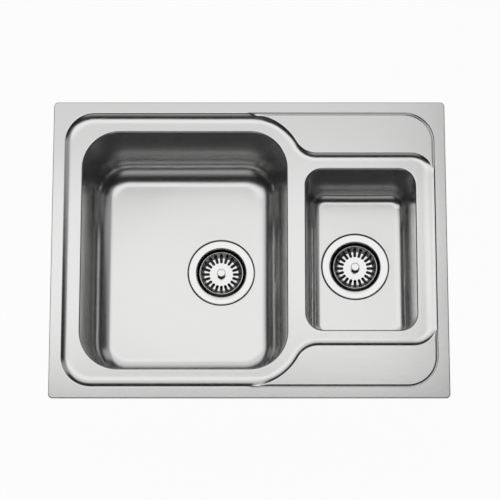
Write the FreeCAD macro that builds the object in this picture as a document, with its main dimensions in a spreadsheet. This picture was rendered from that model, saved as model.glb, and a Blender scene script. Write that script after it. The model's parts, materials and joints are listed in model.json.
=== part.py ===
import FreeCAD, Part
import math
import os

import Sketcher
from FreeCAD import Placement, Rotation, Vector

# Inset stainless kitchen sink with a main bowl and a half bowl, in millimetres.
# The origin is the middle of the rim outline, on the worktop that the rim lies on.
# +X is to the right and +Y to the back, as someone standing at the sink sees it.

doc = FreeCAD.newDocument("inset_sink")
sheet = doc.addObject("Spreadsheet::Sheet", "dims")

# Driving dimensions: name, value in millimetres or degrees, what it sizes
SIZES = [
    ("sheet_wall", 0.8, "steel sheet of the deck and bowls"),
    # Deck
    ("deck_width", 650, "rim outline, left to right"),
    ("deck_depth", 500, "rim outline, front to back"),
    ("deck_corner", 7, "rim outline corner radius"),
    ("rim_top", 5, "rim top above the worktop"),
    ("rim_edge", 1.6, "rounding of the outer edge"),
    ("skirt_gap", 0.4, "turned-down edge above the worktop"),
    ("rim_band", 17.6, "flat width of the rim"),
    ("pan_corner", 51, "corner radius of the pan inside the rim"),
    ("ledge_drop", 6, "ledge below the rim"),
    ("land_drop", 1.4, "lands below the rim"),
    ("step_slope", 40, "lean of the steps from upright"),
    ("step_crest", 2, "rounding at the top of the step"),
    ("step_foot", 10, "rounding at the foot of the step"),
    ("land_depth", 68.4, "land, from the pan outline to its edge"),
    ("land_turn", 36, "radius where the land edge turns to the back"),
    ("land_sweep", 98, "radius where the land edge sweeps round the main bowl"),
    ("land_sweep_x", -5, "middle of that sweep"),
    ("land_end", 40, "radius of the land edge beside the right rim"),
    # Bowls
    ("ledge_left", 31.4, "ledge left of the main bowl"),
    ("ledge_end", 32.4, "ledge in front of and behind the main bowl"),
    ("bridge", 31.5, "ledge between the bowls"),
    ("ledge_right", 32.9, "ledge right of the half bowl"),
    ("ledge_land", 28, "ledge between the half bowl and the lands"),
    ("main_corner", 62, "main bowl corner radius"),
    ("main_drop", 170, "main bowl depth below the ledge"),
    ("main_floor", 40, "rounding of the main bowl floor"),
    ("half_width", 181, "half bowl opening, left to right"),
    ("half_corner", 28, "half bowl corner radius"),
    ("half_drop", 126, "half bowl depth below the ledge"),
    ("half_floor", 20, "rounding of the half bowl floor"),
    ("bowl_draft", 4, "lean of the bowl walls"),
    ("lip_round", 3, "rounding of the bowl lip"),
    ("weld_land", 2, "flat margin outside the lip, up to the weld"),
    # Waste and strainer
    ("main_waste_x", 59, "main waste, right of its bowl's middle"),
    ("half_waste_x", -4.5, "half waste, right of its bowl's middle"),
    ("floor_hole", 45, "radius of the hole in the bowl floor"),
    ("flange_radius", 56.75, "strainer flange"),
    ("flange_wall", 1, "strainer flange and cup wall"),
    ("flange_dish", 0.5, "fall of the flange towards the cup"),
    ("flange_clear", 0.75, "room round the flange in its recess"),
    ("cup_mouth", 43, "cup mouth radius"),
    ("cup_seat", 38.5, "cup radius above its floor rounding"),
    ("cup_drop", 24, "cup floor below the bowl floor"),
    ("cup_round", 5, "rounding of the cup floor"),
    ("cup_hole", 3.2, "drain hole radius in the cup floor"),
    ("cup_hole_ring", 14.4, "circle of the drain holes"),
    ("cup_hole_count", 8, "drain holes"),
    ("flange_seal", 1.6, "rubber under the flange"),
    ("gasket_wall", 2, "rubber under the bowl floor"),
    ("seal_inner", 47, "inner radius of both rubber rings"),
    ("body_lip", 58, "waste body lip radius"),
    ("body_lip_wall", 4, "waste body lip thickness"),
    ("body_inner", 43.6, "waste body inner radius"),
    ("body_wall", 3, "waste body wall"),
    ("body_drop", 44, "foot of the waste body's round chamber"),
    ("funnel_drop", 60, "foot of the waste body's funnel"),
    ("outlet_drop", 82, "end of the outlet below the bowl floor"),
    ("outlet_radius", 23.9, "outlet thread, outside radius"),
    ("outlet_bore", 20, "outlet bore radius"),
    ("hub_radius", 10.5, "hub that holds the insert nut"),
    ("hub_top", 31, "hub top below the bowl floor"),
    ("rib_wall", 3, "hub rib thickness"),
    ("rib_count", 4, "hub ribs"),
    ("nut_radius", 8, "insert nut radius"),
    ("nut_length", 10, "insert nut length"),
    ("thread_clear", 0.05, "room in screw threads and pressed fits"),
    ("screw_radius", 6, "fixing screw shank"),
    ("screw_head", 9, "fixing screw head radius"),
    ("screw_head_wall", 1.2, "fixing screw head thickness"),
    ("screw_bore", 4.05, "bore of the hollow head"),
    ("screw_bore_length", 11, "length of that bore"),
    # Basket
    ("basket_rim", 37.5, "basket rim radius"),
    ("basket_bead", 1, "radius of the rolled rim"),
    ("basket_top", 3, "rim top below the bowl floor"),
    ("basket_drop", 13, "basket floor below the bowl floor"),
    ("basket_floor", 32, "basket floor radius"),
    ("basket_wall", 0.7, "basket sheet"),
    ("basket_round", 4, "rounding of the basket floor"),
    ("slot_inner", 21.8, "inner end of the slots"),
    ("slot_outer", 33.4, "outer end of the slots"),
    ("slot_width", 4.2, "slot width"),
    ("slot_count", 20, "slots"),
    ("knob_radius", 8.2, "knob"),
    ("knob_height", 14, "knob above the basket floor"),
    ("knob_edge", 3, "rounding of the knob's top"),
    ("stem_radius", 3.97, "stem below the knob"),
    ("stem_grip", 4, "stem length inside the screw head at rest"),
    ("running_gap", 0.3, "gap between pieces that move past each other"),
    ("plug_radius", 20.6, "plug seal"),
    ("plug_lip", 2.3, "plug seal lip width"),
    ("plug_web", 1, "plug seal web thickness"),
    ("clip_ring", 6.5, "plug clip radius"),
    ("clip_ring_wall", 0.6, "plug clip thickness"),
    # Rim seal and damping pads
    ("seal_inset", 0.3, "rim seal inside the rounding of the rim's underside"),
    ("seal_width", 7, "rim seal width"),
    ("pad_wall", 3, "damping pad thickness"),
    ("main_pad_width", 105, "main damping pad, left to right"),
    ("main_pad_length", 190, "main damping pad, front to back"),
    ("main_pad_gap", 12, "main damping pad left of the waste recess"),
    ("half_pad_width", 96, "half damping pad, left to right"),
    ("half_pad_length", 34, "half damping pad, front to back"),
    ("half_pad_gap", 6, "half damping pad behind the waste recess"),
    # Worktop clamps
    ("clamp_inset", 23.5, "clamp screw inside the rim outline"),
    ("clamp_left_y", 110, "left clamps, front and back"),
    ("clamp_right_y", 75, "right clamps, front and back"),
    ("clamp_main_x", -190, "front and back clamps beside the main bowl"),
    ("clamp_half_x", 190, "front and back clamps beside the half bowl"),
    ("lug_wall", 2, "lug strip thickness"),
    ("lug_width", 20, "lug strip width"),
    ("lug_foot", 13.5, "lug foot length"),
    ("lug_set_back", 5.5, "lug web inside the screw"),
    ("lug_nose", 8, "lug tab outside the screw"),
    ("lug_depth", 22, "lug tab underside below the worktop"),
    ("clamp_nut_flats", 8, "weld nut across flats"),
    ("clamp_nut_wall", 4, "weld nut height"),
    ("clamp_screw", 2.5, "clamp screw radius"),
    ("clamp_tip", 18, "clamp screw tip below the worktop"),
    ("clamp_head_top", 46, "clamp screw head below the worktop"),
    ("clamp_head", 5, "clamp screw head radius"),
    ("clamp_head_wall", 3.5, "clamp screw head height"),
    ("clamp_slot", 1.4, "driver slot width"),
    ("clamp_slot_deep", 1.6, "driver slot depth"),
    ("claw_wall", 2.5, "claw plate thickness"),
    ("claw_width", 18, "claw plate width"),
    ("claw_reach", 28, "claw from the screw to its tooth"),
    ("claw_heel", 7, "claw behind the screw"),
    ("claw_tooth", 2.4, "tooth above the claw plate"),
    ("claw_tooth_wall", 2, "tooth thickness"),
]

# Dimensions that follow from those: name, rule, what it sizes
FOLLOWING = [
    ("pan_width", "deck_width - 2 * rim_band", "pan outline, left to right"),
    ("pan_depth", "deck_depth - 2 * rim_band", "pan outline, front to back"),
    ("land_line", "pan_depth / 2 - land_depth", "land edge from the middle line"),
    ("half_left", "pan_width / 2 - ledge_right - half_width", "half bowl's left lip"),
    ("main_left", "ledge_left - pan_width / 2", "main bowl's left lip"),
    ("main_width", "half_left - bridge - main_left", "main bowl opening, left to right"),
    ("main_length", "pan_depth - 2 * ledge_end", "main bowl opening, front to back"),
    ("main_x", "main_left + main_width / 2", "middle of the main bowl"),
    ("half_length", "2 * (land_line - ledge_land)", "half bowl opening, front to back"),
    ("half_x", "half_left + half_width / 2", "middle of the half bowl"),
]

for row, (alias, value, note) in enumerate(SIZES + FOLLOWING, start=1):
    sheet.set(f"A{row}", note)
    sheet.set(f"B{row}", f"={value}")
    sheet.setAlias(f"B{row}", alias)
doc.recompute()


def full(expression):
    """The expression with each bare size name pointed at the sheet."""
    names = [alias for alias, _, _ in SIZES + FOLLOWING]
    words, word = [], ""
    for letter in str(expression) + " ":
        if letter.isalnum() or letter == "_":
            word += letter
            continue
        words.append(f"dims.{word}" if word in names else word)
        words.append(letter)
        word = ""
    return "".join(words).strip()


def number(expression):
    """The expression's value now, for the first drawing of a sketch."""
    value = sheet.evalExpression(full(expression))
    return float(getattr(value, "Value", value))


def bind(item, name, expression):
    item.setExpression(name, full(expression))


# Sketches

def origin_part(body, role):
    return next(part for part in body.Origin.OriginFeatures if part.Role == role)


def new_body(name):
    body = doc.addObject("PartDesign::Body", name)
    body.Label = name
    return body


def place(body, x="0", y="0", z="0", turn=0):
    body.Placement = Placement(Vector(), Rotation(Vector(0, 0, 1), turn))
    bind(body, "Placement.Base.x", x)
    bind(body, "Placement.Base.y", y)
    bind(body, "Placement.Base.z", z)


def new_sketch(body, name, height="0", role="XY_Plane"):
    sketch = body.newObject("Sketcher::SketchObject", name)
    sketch.AttachmentSupport = [(origin_part(body, role), "")]
    sketch.MapMode = "FlatFace"
    bind(sketch, "AttachmentOffset.Base.z", height)
    return sketch


def constrain(sketch, *terms):
    return sketch.addConstraint(Sketcher.Constraint(*terms))


def drive(sketch, expression, *terms):
    """A dimension of the sketch, bound to the sheet."""
    index = constrain(sketch, *terms, number(expression))
    sketch.setExpression(f"Constraints[{index}]", full(expression))


def pin_point(sketch, piece, end, x, y):
    """Ties one point of the sketch to its place from the sketch's origin."""
    for name, expression, axis in (("DistanceX", x, -2), ("DistanceY", y, -1)):
        if expression == "0":
            constrain(sketch, "PointOnObject", piece, end, axis)
        else:
            drive(sketch, expression, name, -1, 1, piece, end)


def draw_rounded_rectangle(sketch, width, depth, corner):
    half_w = number(width) / 2
    half_d = number(depth) / 2
    radius = number(corner)
    in_w = half_w - radius
    in_d = half_d - radius
    first = sketch.GeometryCount
    sides = [
        (Vector(-in_w, -half_d), Vector(in_w, -half_d)),
        (Vector(half_w, -in_d), Vector(half_w, in_d)),
        (Vector(in_w, half_d), Vector(-in_w, half_d)),
        (Vector(-half_w, in_d), Vector(-half_w, -in_d)),
    ]
    for start, end in sides:
        sketch.addGeometry(Part.LineSegment(start, end))
    corners = [Vector(in_w, -in_d), Vector(in_w, in_d), Vector(-in_w, in_d), Vector(-in_w, -in_d)]
    for quarter, centre in enumerate(corners):
        circle = Part.Circle(centre, Vector(0, 0, 1), radius)
        start = math.radians(90 * quarter - 90)
        sketch.addGeometry(Part.ArcOfCircle(circle, start, start + math.pi / 2))
    for quarter in range(4):
        side = first + quarter
        arc = first + 4 + quarter
        constrain(sketch, "Tangent", side, 2, arc, 1)
        constrain(sketch, "Tangent", arc, 2, first + (quarter + 1) % 4, 1)
        constrain(sketch, "Vertical" if quarter % 2 else "Horizontal", side)
    for quarter in range(3):
        constrain(sketch, "Equal", first + 4 + quarter, first + 5 + quarter)
    drive(sketch, corner, "Radius", first + 4)
    drive(sketch, f"({width}) / 2", "DistanceX", -1, 1, first + 1, 1)
    drive(sketch, f"({width}) / 2", "DistanceX", first + 3, 1, -1, 1)
    drive(sketch, f"({depth}) / 2", "DistanceY", -1, 1, first + 2, 1)
    drive(sketch, f"({depth}) / 2", "DistanceY", first, 1, -1, 1)


def draw_circle(sketch, radius, x="0", y="0"):
    centre = Vector(number(x), number(y))
    index = sketch.addGeometry(Part.Circle(centre, Vector(0, 0, 1), number(radius)))
    pin_point(sketch, index, 3, x, y)
    drive(sketch, radius, "Radius", index)


def draw_outline(sketch, points):
    """A closed outline of straight lines through (x, y) expressions."""
    places = [Vector(number(x), number(y)) for x, y in points]
    first = sketch.GeometryCount
    for index, start in enumerate(places):
        sketch.addGeometry(Part.LineSegment(start, places[(index + 1) % len(places)]))
    for index, (x, y) in enumerate(points):
        before = first + (index - 1) % len(points)
        constrain(sketch, "Coincident", before, 2, first + index, 1)
        pin_point(sketch, first + index, 1, x, y)


def draw_rectangle(sketch, left, right, low, high):
    draw_outline(sketch, [(left, low), (right, low), (right, high), (left, high)])


# Features

def pad(body, sketch, name, length, down=False, taper=None):
    feature = body.newObject("PartDesign::Pad", name)
    feature.Profile = sketch
    feature.Reversed = down
    bind(feature, "Length", length)
    if taper:
        bind(feature, "TaperAngle", taper)
    doc.recompute()
    return feature


def pocket(body, sketch, name, length, up=False, taper=None):
    feature = body.newObject("PartDesign::Pocket", name)
    feature.Profile = sketch
    feature.Reversed = up
    bind(feature, "Length", length)
    if taper:
        bind(feature, "TaperAngle", taper)
    before = body.Shape.Volume
    doc.recompute()
    if feature.Shape.Volume >= before:
        raise RuntimeError(f"{body.Label}: {name} cuts nothing")
    return feature


def revolve(body, points):
    sketch = new_sketch(body, f"{body.Label}_section", role="XZ_Plane")
    draw_outline(sketch, points)
    feature = body.newObject("PartDesign::Revolution", f"{body.Label}_round")
    feature.Profile = sketch
    feature.ReferenceAxis = (sketch, ["V_Axis"])
    feature.Angle = 360
    doc.recompute()
    return feature


def round_edges(body, name, radius, wanted):
    """Rounds the edges of the body's tip for which wanted(edge) holds."""
    tip = body.Tip
    edges = [f"Edge{n}" for n, edge in enumerate(tip.Shape.Edges, start=1) if wanted(edge)]
    if not edges:
        raise RuntimeError(f"{body.Label}: no edge for {name}")
    feature = body.newObject("PartDesign::Fillet", name)
    feature.Base = (tip, edges)
    bind(feature, "Radius", radius)
    doc.recompute()
    return feature


def around(body, feature, name, count):
    """Repeats a feature in a ring about the body's own Z axis."""
    pattern = body.newObject("PartDesign::PolarPattern", name)
    pattern.Originals = [feature]
    pattern.Axis = (origin_part(body, "Z_Axis"), [""])
    pattern.Angle = 360
    bind(pattern, "Occurrences", count)
    body.Tip = pattern
    doc.recompute()
    return pattern


def level_at(height, half_width=None, half_depth=None):
    """Picks the level edges at a height, within an outline if one is given."""
    def wanted(edge):
        box = edge.BoundBox
        slack = 0.01
        level = abs(box.ZMin - height) < slack and abs(box.ZMax - height) < slack
        if half_width is None or not level:
            return level
        reach_x = max(abs(box.XMin), abs(box.XMax))
        reach_y = max(abs(box.YMin), abs(box.YMax))
        return reach_x < half_width + slack and reach_y < half_depth + slack
    return wanted


subparts = []


def keep(item):
    subparts.append(item)
    return item


# Deck: rim, pan and lands, as a thin sheet between a top form and an under form

LEDGE_TOP = "rim_top - ledge_drop"
LAND_RISE = "ledge_drop - land_drop"
STEP_SHIFT = "sheet_wall * tan((90 - step_slope) * 0.5 deg)"
FORM_FOOT = "ledge_drop + rim_top"
ANCHOR = "rim_band / 2"
# Degrees round their arcs where the land edge leaves straight into the rim
SWEEP_STOP = 75
END_STOP = 25


def draw_land(sketch, inset):
    """Foot outline of the rear land: one edge swings round the main bowl, three sides lie in the rim."""
    run = f"({LAND_RISE}) * tan(step_slope * 1 deg)"
    line = f"land_line - {run} + {inset}"
    turn = f"land_turn + {run} - {inset}"
    sweep = f"land_sweep - {run} + {inset}"
    finish = f"land_end - {run} + {inset}"
    sweep_y = "pan_depth / 2 - land_sweep"
    end_x = "pan_width / 2 - land_end"
    right = f"pan_width / 2 + {ANCHOR}"
    back = f"pan_depth / 2 + {ANCHOR}"
    sweep_end = f"land_sweep_x + ({sweep}) * cos({SWEEP_STOP} deg)"
    finish_end = f"{end_x} + ({finish}) * cos({END_STOP} deg)"

    sweep_mid = Vector(number("land_sweep_x"), number(sweep_y))
    turn_y = number(line) + number(turn)
    reach = number(sweep) + number(turn)
    turn_mid = Vector(sweep_mid.x + math.sqrt(reach**2 - (turn_y - sweep_mid.y) ** 2), turn_y)
    meet = math.atan2(turn_mid.y - sweep_mid.y, turn_mid.x - sweep_mid.x)
    finish_mid = Vector(number(end_x), number(line) - number(finish))
    stop = math.radians(SWEEP_STOP)
    last = math.radians(END_STOP)

    def on_circle(centre, radius, angle):
        return centre + Vector(math.cos(angle), math.sin(angle)) * radius

    tip = on_circle(sweep_mid, number(sweep), stop)
    rise = number(back) - tip.y
    tip_back = Vector(tip.x - rise * math.tan(stop), number(back))
    heel = on_circle(finish_mid, number(finish), last)
    run_out = number(right) - heel.x
    heel_right = Vector(number(right), heel.y - run_out / math.tan(last))

    def arc(centre, radius, start, end):
        circle = Part.Circle(centre, Vector(0, 0, 1), radius)
        return sketch.addGeometry(Part.ArcOfCircle(circle, start, end))

    leave = sketch.addGeometry(Part.LineSegment(heel, heel_right))
    side = sketch.addGeometry(Part.LineSegment(heel_right, Vector(number(right), number(back))))
    rear = sketch.addGeometry(Part.LineSegment(Vector(number(right), number(back)), tip_back))
    join = sketch.addGeometry(Part.LineSegment(tip_back, tip))
    sweep_arc = arc(sweep_mid, number(sweep), meet, stop)
    turn_arc = arc(turn_mid, number(turn), meet + math.pi, 1.5 * math.pi)
    front = sketch.addGeometry(
        Part.LineSegment(Vector(turn_mid.x, number(line)), Vector(finish_mid.x, number(line)))
    )
    finish_arc = arc(finish_mid, number(finish), last, math.pi / 2)

    constrain(sketch, "Coincident", leave, 2, side, 1)
    constrain(sketch, "Coincident", side, 2, rear, 1)
    constrain(sketch, "Coincident", rear, 2, join, 1)
    constrain(sketch, "Tangent", join, 2, sweep_arc, 2)
    constrain(sketch, "Tangent", sweep_arc, 1, turn_arc, 1)
    constrain(sketch, "Tangent", turn_arc, 2, front, 1)
    constrain(sketch, "Tangent", front, 2, finish_arc, 2)
    constrain(sketch, "Tangent", finish_arc, 1, leave, 1)
    constrain(sketch, "Vertical", side)
    constrain(sketch, "Horizontal", rear)
    constrain(sketch, "Horizontal", front)
    drive(sketch, sweep, "Radius", sweep_arc)
    drive(sketch, turn, "Radius", turn_arc)
    drive(sketch, finish, "Radius", finish_arc)
    pin_point(sketch, sweep_arc, 3, "land_sweep_x", sweep_y)
    drive(sketch, sweep_end, "DistanceX", -1, 1, sweep_arc, 2)
    drive(sketch, line, "DistanceY", -1, 1, front, 1)
    drive(sketch, end_x, "DistanceX", -1, 1, finish_arc, 3)
    drive(sketch, finish_end, "DistanceX", -1, 1, finish_arc, 1)
    drive(sketch, right, "DistanceX", -1, 1, side, 1)
    drive(sketch, back, "DistanceY", -1, 1, rear, 1)


def press_pan(body, name, top, grow, crest, foot):
    """Sinks the pan into a form whose top lies at a height, and raises the two lands in it."""
    sketch = new_sketch(body, f"{name}_pan_outline", top)
    width = f"pan_width + 2 * {grow}"
    depth = f"pan_depth + 2 * {grow}"
    draw_rounded_rectangle(sketch, width, depth, f"pan_corner + {grow}")
    pocket(body, sketch, f"{name}_pan", "ledge_drop", taper="-step_slope")
    in_pan = number(width) / 2, number(depth) / 2
    round_edges(body, f"{name}_crest", crest, level_at(number(top), *in_pan))
    ledge = f"{top} - ledge_drop"
    round_edges(body, f"{name}_foot", foot, level_at(number(ledge), *in_pan))
    land_sketch = new_sketch(body, f"{name}_land_outline", ledge)
    draw_land(land_sketch, grow)
    land = pad(body, land_sketch, f"{name}_land", LAND_RISE, taper="-step_slope")
    mirror = body.newObject("PartDesign::Mirrored", f"{name}_lands")
    mirror.Originals = [land]
    mirror.MirrorPlane = (origin_part(body, "XZ_Plane"), [""])
    body.Tip = mirror
    doc.recompute()


def make_deck():
    top_form = new_body("deck_top_form")
    outline = new_sketch(top_form, "deck_outline", "rim_top")
    draw_rounded_rectangle(outline, "deck_width", "deck_depth", "deck_corner")
    pad(top_form, outline, "deck_block", f"rim_top + {FORM_FOOT}", down=True)
    round_edges(top_form, "deck_edge", "rim_edge", level_at(number("rim_top")))
    press_pan(top_form, "deck_top", "rim_top", "0", "step_crest", "step_foot")
    for bowl in ("main", "half"):
        opening = new_sketch(top_form, f"{bowl}_opening", "rim_top")
        width, length, corner = bowl_flange(bowl)
        draw_rounded_rectangle_at(opening, width, length, corner, f"{bowl}_x")
        pocket(top_form, opening, f"{bowl}_opening_cut", f"rim_top + {FORM_FOOT}")

    under_form = new_body("deck_under_form")
    inside = new_sketch(under_form, "under_outline", "rim_top - sheet_wall")
    draw_rounded_rectangle(
        inside, "deck_width - 2 * sheet_wall", "deck_depth - 2 * sheet_wall", "deck_corner - sheet_wall"
    )
    pad(under_form, inside, "under_block", f"rim_top - sheet_wall + {FORM_FOOT}", down=True)
    under_top = "rim_top - sheet_wall"
    round_edges(under_form, "under_edge", "rim_edge - sheet_wall", level_at(number(under_top)))
    below = new_sketch(under_form, "skirt_outline", "skirt_gap")
    draw_rounded_rectangle(
        below, "deck_width + 2 * sheet_wall", "deck_depth + 2 * sheet_wall", "deck_corner + sheet_wall"
    )
    pad(under_form, below, "skirt_trim", f"skirt_gap + {FORM_FOOT}", down=True)
    press_pan(
        under_form, "deck_under", under_top, STEP_SHIFT, "step_crest - sheet_wall", "step_foot + sheet_wall"
    )

    deck = doc.addObject("Part::Cut", "deck")
    deck.Base = top_form
    deck.Tool = under_form
    doc.recompute()
    return deck


# Bowls

def bowl_flange(bowl):
    """Width, length and corner radius of the bowl's flange, up to the weld."""
    margin = "(lip_round + weld_land)"
    return (
        f"{bowl}_width + 2 * {margin}",
        f"{bowl}_length + 2 * {margin}",
        f"{bowl}_corner + {margin}",
    )


def draw_rounded_rectangle_at(sketch, width, depth, corner, x):
    """A rounded rectangle beside the origin: the sketch itself is shifted."""
    bind(sketch, "AttachmentOffset.Base.x", x)
    draw_rounded_rectangle(sketch, width, depth, corner)


RECESS_DROP = "flange_wall + flange_dish + flange_seal"
RECESS_RADIUS = "flange_radius + flange_clear"


def draw_bowl_form(bowl, name, grow, slab_low, slab_top, margin, lip):
    """A solid bowl shape under a level slab, with a rounded floor and a rounded lip below the slab."""
    body = new_body(f"{bowl}_{name}_form")
    place(body, f"{bowl}_x", "0", LEDGE_TOP)
    width, length, corner = bowl_flange(bowl)
    slab = new_sketch(body, f"{bowl}_{name}_slab_outline", slab_low)
    draw_rounded_rectangle(
        slab, f"{width} + 2 * {margin}", f"{length} + 2 * {margin}", f"{corner} + {margin}"
    )
    pad(body, slab, f"{bowl}_{name}_slab", f"{slab_top} - ({slab_low})")
    outline = new_sketch(body, f"{bowl}_{name}_outline")
    draw_rounded_rectangle(
        outline, f"{bowl}_width + 2 * {grow}", f"{bowl}_length + 2 * {grow}", f"{bowl}_corner + {grow}"
    )
    drop = f"{bowl}_drop + {grow}"
    pad(body, outline, f"{bowl}_{name}_walls", drop, down=True, taper="-bowl_draft")
    round_edges(body, f"{bowl}_{name}_floor", f"{bowl}_floor + {grow}", level_at(-number(drop)))
    mouth = number(f"{bowl}_width / 2 + {grow}"), number(f"{bowl}_length / 2 + {grow}")
    round_edges(body, f"{bowl}_{name}_lip", lip, level_at(number(slab_low), *mouth))
    return body


def add_disc(body, name, radius, x, top, length):
    outline = new_sketch(body, f"{name}_outline", top)
    draw_circle(outline, radius, x)
    pad(body, outline, name, length, down=True)


def make_bowl(bowl):
    """A drawn bowl welded into the deck, with a recess and a hole for the strainer in its floor."""
    under_lip = "lip_round - sheet_wall"
    outer = draw_bowl_form(bowl, "outer", "sheet_wall", "-sheet_wall", "0", "0", under_lip)
    inner = draw_bowl_form(bowl, "inner", "0", "0", "lip_round", "sheet_wall", "lip_round")
    floor = f"-{bowl}_drop"
    waste_x = f"{bowl}_waste_x"
    boss_radius = f"{RECESS_RADIUS} + sheet_wall"
    add_disc(outer, f"{bowl}_boss", boss_radius, waste_x, floor, f"{RECESS_DROP} + sheet_wall")
    add_disc(inner, f"{bowl}_recess", RECESS_RADIUS, waste_x, floor, RECESS_DROP)
    add_disc(inner, f"{bowl}_hole", "floor_hole", waste_x, floor, f"{RECESS_DROP} + 2 * sheet_wall")
    bowl_shell = doc.addObject("Part::Cut", f"{bowl}_bowl")
    bowl_shell.Base = outer
    bowl_shell.Tool = inner
    doc.recompute()
    return bowl_shell


# Strainer and waste of one bowl, drawn about the waste axis with height 0 at the bowl floor

def waste_body_at(bowl, name):
    body = new_body(f"{bowl}_{name}")
    place(body, f"{bowl}_x + {bowl}_waste_x", "0", f"{LEDGE_TOP} - {bowl}_drop")
    return body


SEAL_TOP = "-flange_dish - flange_wall"
FLOOR_UNDER = f"-({RECESS_DROP}) - sheet_wall"
GASKET_UNDER = f"{FLOOR_UNDER} - gasket_wall"
CUP_STRAIGHT = "-cup_drop + cup_round"
# Where the middle of a quarter round lies from its two sides, as a share of its radius
ROUND_MID = round(1 - math.cos(math.pi / 4), 3)


def make_cup(bowl):
    body = waste_body_at(bowl, "strainer_cup")
    lip = "cup_mouth + 3 * flange_wall"
    neck = "-3 * flange_wall"
    skin = "flange_wall * cos(45 deg)"
    revolve(body, [
        ("flange_radius", SEAL_TOP),
        ("flange_radius", "-flange_wall / 3"),
        ("flange_radius - flange_wall", "0"),
        (lip, "-flange_dish"),
        ("cup_mouth + flange_wall", "-flange_dish - flange_wall / 2"),
        ("cup_mouth", "-flange_dish - 1.5 * flange_wall"),
        ("cup_mouth - flange_wall", f"{neck} - flange_wall"),
        ("cup_seat", CUP_STRAIGHT),
        (f"cup_seat - cup_round * {ROUND_MID}", f"-cup_drop + cup_round * {ROUND_MID}"),
        ("cup_seat - cup_round", "-cup_drop"),
        ("screw_radius + running_gap", "-cup_drop"),
        ("screw_radius + running_gap", "-cup_drop - flange_wall"),
        ("cup_seat - cup_round + flange_wall / 3", "-cup_drop - flange_wall"),
        (f"cup_seat - cup_round * {ROUND_MID} + {skin}", f"-cup_drop + cup_round * {ROUND_MID} - {skin}"),
        ("cup_seat + flange_wall", CUP_STRAIGHT),
        ("cup_mouth", f"{neck} - flange_wall"),
        ("cup_mouth + flange_wall", "-flange_dish - 2 * flange_wall"),
        (lip, SEAL_TOP),
    ])
    sketch = new_sketch(body, f"{bowl}_cup_hole_outline", "-cup_drop")
    draw_circle(sketch, "cup_hole", "cup_hole_ring")
    hole = pocket(body, sketch, f"{bowl}_cup_hole", "2 * flange_wall")
    around(body, hole, f"{bowl}_cup_holes", "cup_hole_count")
    return body


def make_ring(bowl, name, inner, outer, top, low):
    body = waste_body_at(bowl, name)
    revolve(body, [(inner, low), (outer, low), (outer, top), (inner, top)])
    return body


def make_waste_body(bowl):
    body = waste_body_at(bowl, "waste_body")
    outer = "body_inner + body_wall"
    revolve(body, [
        ("body_inner", GASKET_UNDER),
        ("body_inner", "-body_drop"),
        ("outlet_bore", "-funnel_drop"),
        ("outlet_bore", "-outlet_drop"),
        ("outlet_radius", "-outlet_drop"),
        ("outlet_radius", "-funnel_drop"),
        (outer, "-body_drop"),
        (outer, f"{GASKET_UNDER} - body_lip_wall"),
        ("body_lip", f"{GASKET_UNDER} - body_lip_wall"),
        ("body_lip", GASKET_UNDER),
    ])
    ribs = new_sketch(body, f"{bowl}_rib_outline", "-hub_top")
    draw_rectangle(ribs, "0", "body_inner + body_wall / 2", "-rib_wall / 2", "rib_wall / 2")
    rib = pad(body, ribs, f"{bowl}_rib", "nut_length", down=True)
    around(body, rib, f"{bowl}_ribs", "rib_count")
    hub = new_sketch(body, f"{bowl}_hub_outline", "-hub_top")
    draw_circle(hub, "hub_radius")
    pad(body, hub, f"{bowl}_hub", "nut_length", down=True)
    bore = new_sketch(body, f"{bowl}_hub_bore_outline", "-hub_top")
    draw_circle(bore, "nut_radius + thread_clear")
    pocket(body, bore, f"{bowl}_hub_bore", "nut_length")
    return body


def make_fixing_screw(bowl):
    """A screw whose hollow head guides the basket's stem."""
    body = waste_body_at(bowl, "fixing_screw")
    head_top = "-cup_drop + screw_head_wall"
    tip = "-hub_top - nut_length"
    revolve(body, [
        ("screw_bore", head_top),
        ("screw_bore", f"{head_top} - screw_bore_length"),
        ("0", f"{head_top} - screw_bore_length"),
        ("0", tip),
        ("screw_radius", tip),
        ("screw_radius", "-cup_drop"),
        ("screw_head", "-cup_drop"),
        ("screw_head", head_top),
    ])
    return body


def make_basket(bowl):
    """A slotted basket: flat floor, leaning wall and rolled rim."""
    body = waste_body_at(bowl, "basket")
    under = "-basket_drop - basket_wall"
    rim_low = "-basket_top - 2 * basket_bead"
    wall_top = "basket_rim - 2 * basket_bead"
    inner_mid = f"basket_round * {ROUND_MID}"
    outer_mid = f"(basket_round + basket_wall) * {ROUND_MID}"
    revolve(body, [
        ("stem_radius + thread_clear", "-basket_drop"),
        ("stem_radius + thread_clear", under),
        ("basket_floor - basket_round", under),
        (f"basket_floor + basket_wall - {outer_mid}", f"{under} + {outer_mid}"),
        ("basket_floor + basket_wall", "-basket_drop + basket_round"),
        (f"{wall_top} + basket_wall", rim_low),
        ("basket_rim", rim_low),
        ("basket_rim", "-basket_top - basket_bead / 2"),
        ("basket_rim - basket_bead / 2", "-basket_top"),
        (f"{wall_top} + basket_bead / 2", "-basket_top"),
        (wall_top, "-basket_top - basket_bead / 2"),
        (wall_top, rim_low),
        ("basket_floor", "-basket_drop + basket_round"),
        (f"basket_floor - {inner_mid}", f"-basket_drop + {inner_mid}"),
        ("basket_floor - basket_round", "-basket_drop"),
    ])
    sketch = new_sketch(body, f"{bowl}_slot_outline", "-basket_drop + basket_round")
    draw_rectangle(sketch, "slot_inner", "slot_outer", "-slot_width / 2", "slot_width / 2")
    slot = pocket(body, sketch, f"{bowl}_slot", "basket_round + 2 * basket_wall")
    around(body, slot, f"{bowl}_slots", "slot_count")
    return body


CLIP_TOP = "-basket_drop - basket_wall - plug_web - 2 * running_gap"


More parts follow.
